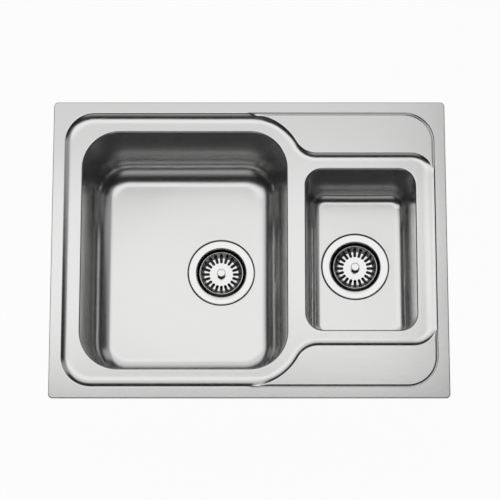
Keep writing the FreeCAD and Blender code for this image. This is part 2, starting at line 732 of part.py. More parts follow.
def make_knob(bowl):
    """Knob, with a stem that passes the basket, the seal and the clip into the hollow screw."""
    body = waste_body_at(bowl, "basket_knob")
    top = "-basket_drop + knob_height"
    tip = "-cup_drop + screw_head_wall - stem_grip"
    revolve(body, [
        ("0", top),
        ("0", tip),
        ("stem_radius - 2 * running_gap", tip),
        ("stem_radius", f"{tip} + 2 * running_gap"),
        ("stem_radius", "-basket_drop"),
        ("knob_radius", "-basket_drop"),
        ("knob_radius", f"{top} - knob_edge"),
        (f"knob_radius - knob_edge * {ROUND_MID}", f"{top} - knob_edge * {ROUND_MID}"),
        ("knob_radius - knob_edge", top),
    ])
    return body


def make_plug_seal(bowl):
    """Rubber seal under the basket: a web round the stem and a lip that closes on the cup floor."""
    body = waste_body_at(bowl, "plug_seal")
    top = "-basket_drop - basket_wall - running_gap"
    web = f"{top} - plug_web"
    lip = "-cup_drop + running_gap"
    inner = "stem_radius + running_gap"
    revolve(body, [
        (inner, top),
        (inner, web),
        ("plug_radius - plug_lip", web),
        ("plug_radius - plug_lip", lip),
        ("plug_radius", lip),
        ("plug_radius", top),
    ])
    return body


def make_waste(bowl):
    keep(make_cup(bowl))
    keep(make_ring(bowl, "flange_seal", "seal_inner", "flange_radius", SEAL_TOP, f"-({RECESS_DROP})"))
    keep(make_ring(bowl, "body_gasket", "seal_inner", "flange_radius", FLOOR_UNDER, GASKET_UNDER))
    keep(make_waste_body(bowl))
    keep(make_fixing_screw(bowl))
    nut_inner = "screw_radius + thread_clear"
    keep(make_ring(bowl, "insert_nut", nut_inner, "nut_radius", "-hub_top", "-hub_top - nut_length"))
    keep(make_basket(bowl))
    keep(make_knob(bowl))
    keep(make_plug_seal(bowl))
    ring_inner = "stem_radius + thread_clear"
    keep(make_ring(bowl, "plug_clip", ring_inner, "clip_ring", CLIP_TOP, f"{CLIP_TOP} - clip_ring_wall"))


# Rim seal and damping pads

def make_rim_seal():
    body = new_body("rim_seal")
    inset = "(rim_edge + seal_inset)"
    outer = new_sketch(body, "rim_seal_outer")
    draw_rounded_rectangle(
        outer, f"deck_width - 2 * {inset}", f"deck_depth - 2 * {inset}", f"deck_corner - {inset}"
    )
    height = "rim_top - sheet_wall"
    pad(body, outer, "rim_seal_block", height)
    inner_inset = f"({inset} + seal_width)"
    inner = new_sketch(body, "rim_seal_inner")
    draw_rounded_rectangle(
        inner, f"deck_width - 2 * {inner_inset}", f"deck_depth - 2 * {inner_inset}", "deck_corner"
    )
    pocket(body, inner, "rim_seal_cut", height, up=True)
    return body


def make_damping_pad(bowl, left, right, low, high):
    body = waste_body_at(bowl, "damping_pad")
    sketch = new_sketch(body, f"{bowl}_pad_outline", "-sheet_wall")
    draw_rectangle(sketch, left, right, low, high)
    pad(body, sketch, f"{bowl}_pad", "pad_wall", down=True)
    return body


# Worktop clamps, drawn with the screw on the Z axis, outward along +X and height 0 on the worktop

def clamp_places():
    """Name, x, y, turn of the outward direction, and whether a land is above."""
    side = "(deck_width / 2 - clamp_inset)"
    end = "(deck_depth / 2 - clamp_inset)"
    return [
        ("1", f"-{side}", "-clamp_left_y", 180, False),
        ("2", f"-{side}", "clamp_left_y", 180, False),
        ("3", "clamp_main_x", end, 90, False),
        ("4", "clamp_half_x", end, 90, True),
        ("5", side, "clamp_right_y", 0, False),
        ("6", side, "-clamp_right_y", 0, False),
        ("7", "clamp_half_x", f"-{end}", -90, True),
        ("8", "clamp_main_x", f"-{end}", -90, False),
    ]


def make_lug(tag, x, y, turn, under_land):
    """Bent strip: a foot welded under the deck, a web, and a tab with the screw hole."""
    body = new_body(f"clip_lug_{tag}")
    place(body, x, y, "0", turn)
    ceiling = "rim_top - land_drop - sheet_wall" if under_land else f"{LEDGE_TOP} - sheet_wall"
    web = "-lug_set_back"
    foot = f"{web} - lug_foot"
    tab_top = "-lug_depth + lug_wall"
    section = new_sketch(body, f"clip_lug_{tag}_section", role="XZ_Plane")
    draw_outline(section, [
        (foot, ceiling),
        (web, ceiling),
        (web, tab_top),
        ("lug_nose", tab_top),
        ("lug_nose", "-lug_depth"),
        (f"{web} - lug_wall", "-lug_depth"),
        (f"{web} - lug_wall", f"{ceiling} - lug_wall"),
        (foot, f"{ceiling} - lug_wall"),
    ])
    strip = pad(body, section, f"clip_lug_{tag}_strip", "lug_width")
    strip.Midplane = True
    hole = new_sketch(body, f"clip_lug_{tag}_hole_outline", tab_top)
    draw_circle(hole, "clamp_screw + running_gap")
    doc.recompute()
    pocket(body, hole, f"clip_lug_{tag}_hole", "2 * lug_wall")
    return body


# Degrees between the nut's first corner and the outward direction
NUT_TWIST = 15


def make_weld_nut(tag, x, y, turn):
    body = new_body(f"clip_weld_nut_{tag}")
    place(body, x, y, "0", turn)
    outline = new_sketch(body, f"clip_weld_nut_{tag}_outline", "-lug_depth + lug_wall")
    corner = "clamp_nut_flats / 2 / cos(30 deg)"
    angles = [NUT_TWIST + 60 * side for side in range(6)]
    draw_outline(
        outline, [(f"{corner} * cos({angle} deg)", f"{corner} * sin({angle} deg)") for angle in angles]
    )
    draw_circle(outline, "clamp_screw + thread_clear")
    pad(body, outline, f"clip_weld_nut_{tag}_block", "clamp_nut_wall")
    return body


def make_clamp_screw(tag, x, y, turn):
    body = new_body(f"clip_screw_{tag}")
    place(body, x, y, "0", turn)
    foot = "-clamp_head_top - clamp_head_wall"
    revolve(body, [
        ("0", "-clamp_tip"),
        ("0", foot),
        ("clamp_head", foot),
        ("clamp_head", "-clamp_head_top"),
        ("clamp_screw", "-clamp_head_top"),
        ("clamp_screw", "-clamp_tip"),
    ])
    slot = new_sketch(body, f"clip_screw_{tag}_slot_outline", foot)
    draw_rectangle(slot, "-2 * clamp_head", "2 * clamp_head", "-clamp_slot / 2", "clamp_slot / 2")
    pocket(body, slot, f"clip_screw_{tag}_slot", "clamp_slot_deep", up=True)
    return body


def make_claw(tag, x, y, turn):
    """Claw plate on the screw head, parked along the rim with its tooth up."""
    body = new_body(f"clip_claw_{tag}")
    quarter = 90
    place(body, x, y, "0", turn - quarter)
    low = "-clamp_head_top + running_gap"
    plate = new_sketch(body, f"clip_claw_{tag}_outline", low)
    draw_rectangle(plate, "-claw_heel", "claw_reach", "-claw_width / 2", "claw_width / 2")
    pad(body, plate, f"clip_claw_{tag}_plate", "claw_wall")
    tooth = new_sketch(body, f"clip_claw_{tag}_tooth_outline", low)
    draw_rectangle(tooth, "claw_reach - claw_tooth_wall", "claw_reach", "-claw_width / 2", "claw_width / 2")
    pad(body, tooth, f"clip_claw_{tag}_tooth", "claw_wall + claw_tooth")
    hole = new_sketch(body, f"clip_claw_{tag}_hole_outline", f"{low} + claw_wall")
    draw_circle(hole, "clamp_screw + running_gap")
    pocket(body, hole, f"clip_claw_{tag}_hole", "2 * claw_wall")
    return body


def make_group(name, items):
    group = doc.addObject("Part::Compound", name)
    group.Label = name
    group.Links = items
    doc.recompute()
    return group


def make_clamps():
    places = clamp_places()
    keep(make_group("clip_lugs", [make_lug(*spot) for spot in places]))
    keep(make_group("clip_weld_nuts", [make_weld_nut(*spot[:4]) for spot in places]))
    for spot in places:
        keep(make_clamp_screw(*spot[:4]))
        keep(make_claw(*spot[:4]))


# The whole sink

keep(make_deck())
keep(make_rim_seal())
recess_reach = f"({RECESS_RADIUS} + sheet_wall)"
for bowl_name in ("main", "half"):
    keep(make_bowl(bowl_name))
    make_waste(bowl_name)
pad_right = f"-{recess_reach} - main_pad_gap"
pad_front = f"{recess_reach} + half_pad_gap"
keep(make_damping_pad(
    "main", f"{pad_right} - main_pad_width", pad_right, "-main_pad_length / 2", "main_pad_length / 2"
))
keep(make_damping_pad(
    "half", "-half_pad_width / 2", "half_pad_width / 2", pad_front, f"{pad_front} + half_pad_length"
))
make_clamps()
doc.recompute()

# Tests, then the files

for item in doc.Objects:
    if "Invalid" in item.State or "Error" in item.State:
        raise RuntimeError(f"{item.Label}: {item.State}")
for item in subparts:
    if item.Shape.isNull() or not item.Shape.isValid():
        raise RuntimeError(f"{item.Label}: no valid shape")

os.makedirs("parts", exist_ok=True)
for item in subparts:
    item.Shape.exportStep(f"parts/{item.Label}.step")
    box = item.Shape.BoundBox
    print(f"{item.Label}: {len(item.Shape.Solids)} solids, {item.Shape.Volume / 1000:.2f} cm3, "
          f"z {box.ZMin:.1f} to {box.ZMax:.1f}")
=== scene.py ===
import json
import math

import bpy
import numpy as np
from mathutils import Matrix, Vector
from mathutils.geometry import delaunay_2d_cdt


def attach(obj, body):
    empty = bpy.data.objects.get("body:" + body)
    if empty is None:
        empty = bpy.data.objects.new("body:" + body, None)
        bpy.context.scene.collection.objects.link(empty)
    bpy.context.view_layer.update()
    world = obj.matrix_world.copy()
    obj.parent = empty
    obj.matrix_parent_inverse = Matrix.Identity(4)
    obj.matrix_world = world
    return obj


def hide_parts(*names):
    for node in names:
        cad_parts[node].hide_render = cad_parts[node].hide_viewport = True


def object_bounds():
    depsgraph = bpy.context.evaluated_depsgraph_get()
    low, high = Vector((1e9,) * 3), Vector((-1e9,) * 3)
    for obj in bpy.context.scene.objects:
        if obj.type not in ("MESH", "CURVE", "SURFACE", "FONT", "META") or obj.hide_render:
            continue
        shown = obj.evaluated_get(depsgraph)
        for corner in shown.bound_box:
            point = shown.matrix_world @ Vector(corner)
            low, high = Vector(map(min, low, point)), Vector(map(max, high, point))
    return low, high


# Stainless inset sink with a main bowl and a half bowl. The pieces' lengths are in millimetres until a mesh
# is made, and the studio's are in metres. Angles given as bare values are in degrees.

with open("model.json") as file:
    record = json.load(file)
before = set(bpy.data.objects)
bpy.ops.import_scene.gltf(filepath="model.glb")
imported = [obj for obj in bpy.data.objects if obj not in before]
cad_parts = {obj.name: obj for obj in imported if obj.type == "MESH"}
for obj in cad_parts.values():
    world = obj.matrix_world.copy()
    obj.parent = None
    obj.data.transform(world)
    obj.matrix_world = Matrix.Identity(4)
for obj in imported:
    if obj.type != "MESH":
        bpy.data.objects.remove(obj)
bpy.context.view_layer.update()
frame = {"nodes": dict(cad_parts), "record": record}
MM = 0.001

# Deck
SHEET = 0.8
DECK_HALF = (325.0, 250.0)
DECK_CORNER = 7.0
RIM_TOP = 5.0
RIM_EDGE = 1.6
RIM_TURNS = (15, 30, 45, 60, 75, 90)
SKIRT_FOOT = 0.4
PAN_HALF = (307.4, 232.4)
PAN_CORNER = 51.0
PAN_RUN = 22.0
PAN_LOOPS = 16
LEDGE_TOP = -1.0
LAND_TOP = 3.6
LAND_LINE = 164.0
LAND_TURN = 36.0
LAND_SWEEP = 98.0
LAND_SWEEP_X = -5.0
LAND_SWEEP_START = 92
LAND_END = 40.0
LAND_END_STOP = -4
LAND_RUN = 16.0
LAND_LOOPS = 12
LAND_FADE = 40.0
GROOVE_RUN = 2.8
CHANNEL_DEPTH = 0.7
CHANNEL_RUN = 5.0
CREST_SHARE = 0.14
CREST_CROWDING = 1.5
FLAT_MARGIN = 1.0

# Bowls
BOWLS = {
    "main": dict(x=-107.0, half_w=169.0, half_l=200.0, corner=62.0, drop=170.0, floor=40.0, waste_x=-48.0),
    "half": dict(x=184.0, half_w=90.5, half_l=136.0, corner=28.0, drop=126.0, floor=20.0, waste_x=179.5),
}
BOWL_DRAFT = math.radians(4)
LIP_ROUND = 3.0
LIP_LEAD = 0.4
WELD_MARGIN = 5.0
FLOOR_FALL = 2.0
FALL_RUN = 120.0
FLOOR_RINGS = 16
RECESS_RADIUS = 57.1
RECESS_DROP = 3.1
RECESS_EDGE = 1.4
FLOOR_HOLE = 45.0

# Strainer flange, cup and seal, with height 0 at the bowl floor
FLANGE_RADIUS = 56.0
FLANGE_EDGE = 1.3
FLANGE_DISH = 0.5
DISH_STEPS = ((4.0, 0.1), (8.0, 0.6))
CUP_MOUTH = 41.9
MOUTH_ROUND = 2.4
CUP_SEAT = 38.5
CUP_DROP = 24.0
CUP_ROUND = 5.0
CUP_SHEET = 0.6
BRIGHT_DEPTH = 9.0
BRIGHT_TAPER = 0.4
CUP_FLOOR = 24.0
CUP_HOLES = 8
CUP_HOLE = 3.2
CUP_HOLE_RING = 14.4
SCREW_HOLE = 6.3
SEAL_INNER = 46.0
SEAL_LIP = 57.0
SEAL_TOP = -1.3
SEAL_LIP_ROUND = 0.7
SEAL_LIP_RISE = 0.3
SEAL_LIP_RUN = 2.0

# Strainer basket and knob, from the same height
BASKET_RIM = 37.5
BASKET_TOP = -3.0
BASKET_BEAD = 1.0
BEAD_START = -40
BASKET_FLOOR = -13.0
BASKET_FOOT = 32.0
BASKET_ROUND = 4.0
BASKET_SHEET = 0.7
BASKET_EYE = 4.02
BASKET_CENTRE = 12.0
SLOTS = 20
SLOT_INNER = 19.6
SLOT_OUTER = 34.6
SLOT_TOP = -6.0
SLOT_HALF = 2.5
SLOT_END_CUT = 0.1
SLOT_MARGIN = 1.0
SLOT_STEPS = 4
BAR_STEPS = 6
KNOB_FOOT = 8.2
KNOB_RADIUS = 7.2
KNOB_EDGE = 1.3
KNOB_CROWN = 0.2
KNOB_HEIGHT = 14.0
KNOB_CHAMFER = 0.4
KNOB_TAPER_START = 1.0
STEM_RADIUS = 3.97
STEM_TIP = -26.8
STEM_CHAMFER = 0.6
AXIS_GAP = 0.05

# Fineness of the meshes
OUTLINE_SIDE_STEPS = 48
OUTLINE_CORNER_STEPS = 20
TURNED_STEPS = 128
HOLE_STEPS = 32
MERGE_GAP = 1e-4
TINY = 1e-12


# Meshes

def arc(middle, radius, start, end, steps):
    """Points along a circle, with the angles in degrees."""
    turns = np.radians(np.linspace(start, end, steps + 1))
    return np.asarray(middle) + radius * np.stack([np.cos(turns), np.sin(turns)], 1)


def circle(middle, radius, steps):
    return arc(middle, radius, 0, 360, steps)[:-1]


def rounded_outline(half_w, half_l, corner, middle=0.0):
    """Rounded rectangle, anticlockwise from its right side."""
    reach = np.array([half_w - corner, half_l - corner])
    points = []
    for quarter, sign in enumerate(((1, 1), (-1, 1), (-1, -1), (1, -1))):
        bend = arc(reach * sign, corner, 90 * quarter, 90 * quarter + 90, OUTLINE_CORNER_STEPS)
        start = bend[-1]
        stop = start * ((-1, 1) if quarter % 2 == 0 else (1, -1))
        along = np.linspace(0, 1, OUTLINE_SIDE_STEPS + 1)[1:-1, None]
        points += [bend, start + (stop - start) * along]
    return np.concatenate(points) + (middle, 0)


def inside_outline(points, half_w, half_l, corner, middle=0.0):
    """Depth of each point inside a rounded rectangle."""
    past_x = np.abs(points[..., 0] - middle) - (half_w - corner)
    past_y = np.abs(points[..., 1]) - (half_l - corner)
    outside = np.hypot(np.maximum(past_x, 0), np.maximum(past_y, 0))
    return corner - outside - np.minimum(np.maximum(past_x, past_y), 0)


def level_ring(outline, height):
    return np.column_stack([outline, np.full(len(outline), height)])


def loop_edges(first, count):
    """Edges round a closed outline of count points."""
    return [(first + k, first + (k + 1) % count) for k in range(count)]


def ring_faces(rings, count):
    """Quads between neighbouring closed rings of count points."""
    faces = []
    for ring in range(rings - 1):
        outer = ring * count
        inner = outer + count
        for k in range(count):
            after = (k + 1) % count
            faces.append((outer + k, outer + after, inner + after, inner + k))
    return faces


def fill_flat(points, edges):
    """Triangles between flat outlines: places, faces, face middles, and each given point's new number."""
    made = delaunay_2d_cdt([Vector(p) for p in points], edges, [], 0, MERGE_GAP)
    places = np.array([(p.x, p.y) for p in made[0]])
    faces = [tuple(face) for face in made[2]]
    middles = np.array([places[list(face)].mean(0) for face in faces])
    numbers = {given: k for k, originals in enumerate(made[3]) for given in originals}
    return places, faces, middles, numbers


def surface_normals(points, faces):
    """Normal at each point, from the triangles and quads round it."""
    normals = np.zeros_like(points)
    for size in (3, 4):
        group = np.array([face for face in faces if len(face) == size])
        if len(group) == 0:
            continue
        first = points[group[:, 2]] - points[group[:, 0]]
        second = points[group[:, size - 1]] - points[group[:, 1]]
        flat = np.cross(first, second)
        for corner in range(size):
            np.add.at(normals, group[:, corner], flat)
    length = np.linalg.norm(normals, axis=1, keepdims=True)
    return normals / np.maximum(length, TINY)


def thicken(points, faces, normals, wall):
    """Gives a sheet its thickness behind its face. Cut edges have points of their own and stay crisp."""
    count = len(points)
    back = points - normals * wall
    all_points = [points, back]
    all_normals = [normals, -normals]
    all_faces = list(faces)
    all_faces += [tuple(count + k for k in reversed(face)) for face in faces]
    edges = set()
    for face in faces:
        edges.update(zip(face, face[1:] + face[:1]))
    base = 2 * count
    for a, b in sorted(edges):
        if (b, a) in edges:
            continue
        quad = np.array([points[b], points[a], back[a], back[b]])
        facing = np.cross(quad[1] - quad[0], quad[2] - quad[1])
        facing = facing / max(np.linalg.norm(facing), TINY)
        all_points.append(quad)
        all_normals.append(np.tile(facing, (4, 1)))
        all_faces.append((base, base + 1, base + 2, base + 3))
        base += 4
    return np.concatenate(all_points), all_faces, np.concatenate(all_normals)


def make_piece(name, solid, slot, body, node, finish=None):
    """A smooth piece with normals of its own, which stands for a CAD node or for a part of one."""
    points, faces, normals = solid
    mesh = bpy.data.meshes.new(name)
    mesh.from_pydata((points * MM).tolist(), [], [tuple(int(k) for k in face) for face in faces])
    mesh.polygons.foreach_set("use_smooth", [True] * len(mesh.polygons))
    mesh.normals_split_custom_set_from_vertices(normals.tolist())
    mesh.materials.append(finish or FINISHES[slot])
    piece = bpy.data.objects.new(name, mesh)
    bpy.context.scene.collection.objects.link(piece)
    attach(piece, body)
    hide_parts(node)


# Deck shape

SWEEP_MID = np.array([LAND_SWEEP_X, PAN_HALF[1] - LAND_SWEEP])
TURN_Y = LAND_LINE + LAND_TURN
TURN_X = SWEEP_MID[0] + math.sqrt((LAND_SWEEP + LAND_TURN) ** 2 - (TURN_Y - SWEEP_MID[1]) ** 2)
TURN_MID = np.array([TURN_X, TURN_Y])
END_MID = np.array([PAN_HALF[0] - LAND_END, LAND_LINE - LAND_END])
MEET = math.atan2(TURN_MID[1] - SWEEP_MID[1], TURN_MID[0] - SWEEP_MID[0])


def land_distance(x, y):
    """How far a point lies outside the nearer of the two lands."""
    y = np.abs(y)
    sweep = LAND_SWEEP - np.hypot(x - SWEEP_MID[0], y - SWEEP_MID[1])
    turn = np.hypot(x - TURN_MID[0], y - TURN_MID[1]) - LAND_TURN
    end = LAND_END - np.hypot(x - END_MID[0], y - END_MID[1])
    beside = (x - SWEEP_MID[0]) * math.sin(MEET) - (y - SWEEP_MID[1]) * math.cos(MEET)
    left = np.where(beside > 0, turn, sweep)
    left = np.where(x < SWEEP_MID[0], PAN_HALF[1] - y, left)
    right = np.where(y > END_MID[1], end, PAN_HALF[0] - x)
    middle = LAND_LINE - y
    return np.where(x < TURN_MID[0], left, np.where(x < END_MID[0], middle, right))


def smooth(share):
    """Eases from 0 to 1."""
    share = np.clip(share, 0, 1)
    return share**2 * (3 - 2 * share)


def ogee(share):
    """Falls from 1 to 0 with a tight crest and a long hollow foot, which meet at one height and slope."""
    share = np.clip(share, 0, 1)
    steep = 1 / ((1 - CREST_SHARE) ** 2 * (1 + CREST_SHARE / 2))
    crest = 1 - 1.5 * steep * (1 - CREST_SHARE) ** 2 / CREST_SHARE * share**2
    foot = steep * (1 - share) ** 3
    return np.where(share < CREST_SHARE, crest, foot)


def deck_height(x, y):
    """Top of the sheet: ledge, lands, the step up to the rim, and the channel beside the lands."""
    depth = inside_outline(np.stack([x, y], -1), *PAN_HALF, PAN_CORNER)
    land = ogee(land_distance(x, y) / LAND_RUN) * smooth((x - LAND_SWEEP_X) / LAND_FADE)
    rim = ogee(depth / PAN_RUN) * (1 - land) + ogee(depth / GROOVE_RUN) * land
    raised = (LAND_TOP - LEDGE_TOP) * land * (1 - rim)
    channel = CHANNEL_DEPTH * land * np.sin(math.pi * np.clip(depth / CHANNEL_RUN, 0, 1)) ** 2
    return LEDGE_TOP + raised + (RIM_TOP - LEDGE_TOP) * rim - channel


def deck_normals(x, y):
    step = 0.01
    slope_x = (deck_height(x + step, y) - deck_height(x - step, y)) / (2 * step)
    slope_y = (deck_height(x, y + step) - deck_height(x, y - step)) / (2 * step)
    normals = np.stack([-slope_x, -slope_y, np.ones_like(slope_x)], 1)
    return normals / np.linalg.norm(normals, axis=1, keepdims=True)


def land_contour(offset):
    """The back land's edge moved towards the bowls by an offset, from the back rim to the right rim."""
    meet = math.degrees(MEET)
    line = np.linspace(TURN_MID[0], END_MID[0], 30)
    return np.concatenate([
        arc(SWEEP_MID, LAND_SWEEP - offset, LAND_SWEEP_START, meet, 50),
        arc(TURN_MID, LAND_TURN + offset, meet + 180, 270, 30)[1:-1],
        np.column_stack([line, np.full_like(line, LAND_LINE - offset)]),
        arc(END_MID, LAND_END - offset, 90, LAND_END_STOP, 40)[1:],
    ])


def bowl_size(bowl, inset):
    """Half width, half length, corner and middle of the bowl's outline, moved inwards by an inset."""
    size = BOWLS[bowl]
    draft = math.tan(BOWL_DRAFT) * (size["drop"] - size["floor"])
    corner = size["corner"] - min(inset, 0) - max(inset - draft, 0)
    return size["half_w"] - inset, size["half_l"] - inset, corner, size["x"]


def step_offsets(run, count):
    """Offsets through a step, closer together at its crest."""
    return run * np.linspace(0, 1, count) ** CREST_CROWDING


def make_deck():
    """Pressed sheet round both bowls, with its rim turned down to the worktop."""
    flat = []
    edges = []

    def add(points, closed=True):
        loop = loop_edges(len(flat), len(points))
        edges.extend(loop if closed else loop[:-1])
        flat.extend(points)

    rim_size = (DECK_HALF[0] - RIM_EDGE, DECK_HALF[1] - RIM_EDGE, DECK_CORNER - RIM_EDGE)
    rim_loop = rounded_outline(*rim_size)
    add(rim_loop)
    pan_steps = step_offsets(PAN_RUN, PAN_LOOPS)
    for depth in (-FLAT_MARGIN, 0.5 * GROOVE_RUN, *pan_steps, PAN_RUN + 2 * FLAT_MARGIN):
        add(rounded_outline(PAN_HALF[0] - depth, PAN_HALF[1] - depth, PAN_CORNER - depth))
    for offset in (-FLAT_MARGIN, *step_offsets(LAND_RUN, LAND_LOOPS), LAND_RUN + 1.5 * FLAT_MARGIN):
        contour = land_contour(offset)
        add(contour, closed=False)
        add(contour * (1, -1), closed=False)
    for bowl in BOWLS:
        add(rounded_outline(*bowl_size(bowl, -WELD_MARGIN)))

    places, faces, middles, numbers = fill_flat(flat, edges)
    keep = inside_outline(middles, *rim_size) > 0
    for bowl in BOWLS:
        keep &= inside_outline(middles, *bowl_size(bowl, -WELD_MARGIN)) < 0
    faces = [face for face, wanted in zip(faces, keep) if wanted]
    x, y = places.T
    points = [np.column_stack([places, deck_height(x, y)])]
    normals = [deck_normals(x, y)]

    # The rim's rounded edge and the turned-down skirt
    count = len(rim_loop)
    ring = [numbers[k] for k in range(count)]
    along = np.roll(rim_loop, -1, 0) - np.roll(rim_loop, 1, 0)
    outward = np.stack([along[:, 1], -along[:, 0]], 1)
    outward = outward / np.linalg.norm(outward, axis=1, keepdims=True)
    section = []
    for turn in np.radians(RIM_TURNS):
        section.append((turn, RIM_TOP - RIM_EDGE * (1 - math.cos(turn))))
    section.append((math.pi / 2, SKIRT_FOOT))
    first = len(places)
    for turn, height in section:
        points.append(level_ring(rim_loop + outward * RIM_EDGE * math.sin(turn), height))
        normals.append(level_ring(outward * math.sin(turn), math.cos(turn)))
        for k in range(count):
            after = (k + 1) % count
            faces.append((ring[k], first + k, first + after, ring[after]))
        ring = range(first, first + count)
        first += count
    solid = thicken(np.concatenate(points), faces, np.concatenate(normals), SHEET)
    make_piece("deck_sheet", solid, "brushed_steel", "sink", "deck")


# Bowl shape

def bowl_profile(size):
    """Inset and height down the bowl: weld margin, lip, wall and floor rounding."""
    lean = math.tan(BOWL_DRAFT)
    tilt = math.degrees(BOWL_DRAFT)
    lip = (LIP_ROUND * lean - LIP_ROUND / math.cos(BOWL_DRAFT), LEDGE_TOP - LIP_ROUND)
    foot_z = LEDGE_TOP - size["drop"] + size["floor"]
    foot = ((LEDGE_TOP - foot_z) * lean + size["floor"] / math.cos(BOWL_DRAFT), foot_z)
    lip_arc = arc(lip, LIP_ROUND, 90, tilt, 12)
    foot_arc = arc(foot, size["floor"], 180 + tilt, 270, 24)
    wall = np.linspace(lip_arc[-1], foot_arc[0], 9)[1:-1]
    margin = np.array([(-WELD_MARGIN, LEDGE_TOP), (lip[0] - LIP_LEAD, LEDGE_TOP)])
    return np.concatenate([margin, lip_arc, wall, foot_arc])


def make_bowl(bowl):
    """Drawn bowl whose floor falls to the waste recess."""
    size = BOWLS[bowl]
    rings = []
    for inset, height in bowl_profile(size):
        rings.append(level_ring(rounded_outline(*bowl_size(bowl, inset)), height))
    rim = rings[-1][:, :2]
    floor = LEDGE_TOP - size["drop"]
    waste = np.array([size["waste_x"], 0])
    spoke = rim - waste
    spoke = spoke / np.linalg.norm(spoke, axis=1, keepdims=True)
    mouth = waste + spoke * (RECESS_RADIUS + RECESS_EDGE)
    for share in np.linspace(0, 1, FLOOR_RINGS + 1)[1:]:
        rings.append(level_ring(rim + (mouth - rim) * share, floor))
    for radius, height in arc((RECESS_RADIUS + RECESS_EDGE, -RECESS_EDGE), RECESS_EDGE, 90, 180, 4)[1:]:
        rings.append(level_ring(waste + spoke * radius, floor + height))
    for radius in (RECESS_RADIUS, FLOOR_HOLE):
        rings.append(level_ring(waste + spoke * radius, floor - RECESS_DROP))
    points = np.concatenate(rings)
    away = np.linalg.norm(points[:, :2] - waste, axis=1) - RECESS_RADIUS - RECESS_EDGE
    sunk = (floor + size["floor"] - points[:, 2]) / size["floor"]
    points[:, 2] += FLOOR_FALL * smooth(away / FALL_RUN) * smooth(sunk)
    faces = ring_faces(len(rings), len(rim))
    solid = thicken(points, faces, surface_normals(points, faces), SHEET)
    make_piece(f"{bowl}_bowl_sheet", solid, "brushed_steel", "sink", f"{bowl}_bowl")


# Strainer shapes

def waste_place(bowl):
    """Middle of the waste, at the height of the bowl floor."""
    size = BOWLS[bowl]
    return np.array([size["waste_x"], 0, LEDGE_TOP - size["drop"]])


def spin(profile):
    """Rings of a turned shape, from its radius and height at each step."""
    turned_circle = circle((0, 0), 1, TURNED_STEPS)
    points = np.concatenate([level_ring(turned_circle * radius, height) for radius, height in profile])
    return points, ring_faces(len(profile), TURNED_STEPS)


def cup_floor(height):
    """Flat floor of the cup with its screw hole and drain holes, and the points round its edge in order."""
    flat = list(circle((0, 0), CUP_FLOOR, TURNED_STEPS))
    edges = loop_edges(0, TURNED_STEPS)
    holes = [(np.zeros(2), SCREW_HOLE)]
    for middle in circle((0, 0), CUP_HOLE_RING, CUP_HOLES):
        holes.append((middle, CUP_HOLE))
    for middle, radius in holes:
        edges += loop_edges(len(flat), HOLE_STEPS)
        flat.extend(circle(middle, radius, HOLE_STEPS))
    places, faces, middles, numbers = fill_flat(flat, edges)
    keep = np.full(len(faces), True)
    for middle, radius in holes:
        keep &= np.linalg.norm(middles - middle, axis=1) > radius
    faces = [face for face, wanted in zip(faces, keep) if wanted]
    return level_ring(places, height), faces, [numbers[k] for k in range(TURNED_STEPS)]


def make_cup(bowl):
    """Bright flange, and the deep-drawn cup inside it, whose near-black steel is painted shade."""
    flange = FLANGE_RADIUS - FLANGE_EDGE
    seat = (CUP_SEAT - CUP_ROUND, CUP_ROUND - CUP_DROP)
    mouth = (CUP_MOUTH + MOUTH_ROUND, -FLANGE_DISH - MOUTH_ROUND)
    bright_end = (CUP_MOUTH - BRIGHT_TAPER, -BRIGHT_DEPTH)
    place = waste_place(bowl)
    node = f"{bowl}_strainer_cup"

    ring, ring_quads = spin(np.concatenate([
        arc((flange, -FLANGE_EDGE), FLANGE_EDGE, 0, 90, 6),
        [(flange - inward, -share * FLANGE_DISH) for inward, share in DISH_STEPS],
        arc(mouth, MOUTH_ROUND, 90, 180, 8),
        [bright_end],
    ]))
    solid = thicken(ring + place, ring_quads, surface_normals(ring, ring_quads), CUP_SHEET)
    make_piece(f"{bowl}_flange_pressing", solid, "polished_steel", "sink", node)

    shell, shell_quads = spin(np.concatenate([
        [bright_end],
        arc(seat, CUP_ROUND, 0, -90, 10),
        [(CUP_FLOOR, -CUP_DROP)],
    ]))
    disc, disc_faces, disc_edge = cup_floor(-CUP_DROP)
    inside = np.setdiff1d(np.arange(len(disc)), disc_edge)
    number = dict(zip(disc_edge, range(len(shell) - TURNED_STEPS, len(shell))))
    number.update(zip(inside.tolist(), range(len(shell), len(shell) + len(inside))))
    points = np.concatenate([shell, disc[inside]])
    faces = shell_quads + [tuple(number[k] for k in face) for face in disc_faces]
    solid = thicken(points + place, faces, surface_normals(points, faces), CUP_SHEET)
    # The cup's near-black steel paints in the shade that fills it under the basket.
    make_piece(f"{bowl}_cup_pressing", solid, "polished_steel", "sink", node, CUP_PAINTED_SHADE)


def make_seal(bowl):
    """Rubber ring under the flange, whose lip shows as a thin black line round it."""
    low = -RECESS_DROP
    inner_top = SEAL_TOP - SEAL_LIP_RISE
    lip = (SEAL_LIP - SEAL_LIP_ROUND, SEAL_TOP - SEAL_LIP_ROUND)
    profile = np.concatenate([
        [(SEAL_INNER, inner_top), (FLANGE_RADIUS - SEAL_LIP_RUN, inner_top)],
        arc(lip, SEAL_LIP_ROUND, 90, 0, 4),
        [(SEAL_LIP, low), (SEAL_INNER, low), (SEAL_INNER, inner_top)],
    ])
    points, faces = spin(profile[::-1])
    solid = (points + waste_place(bowl), faces, surface_normals(points, faces))
    make_piece(f"{bowl}_seal_ring", solid, "black_rubber", "sink", f"{bowl}_flange_seal")


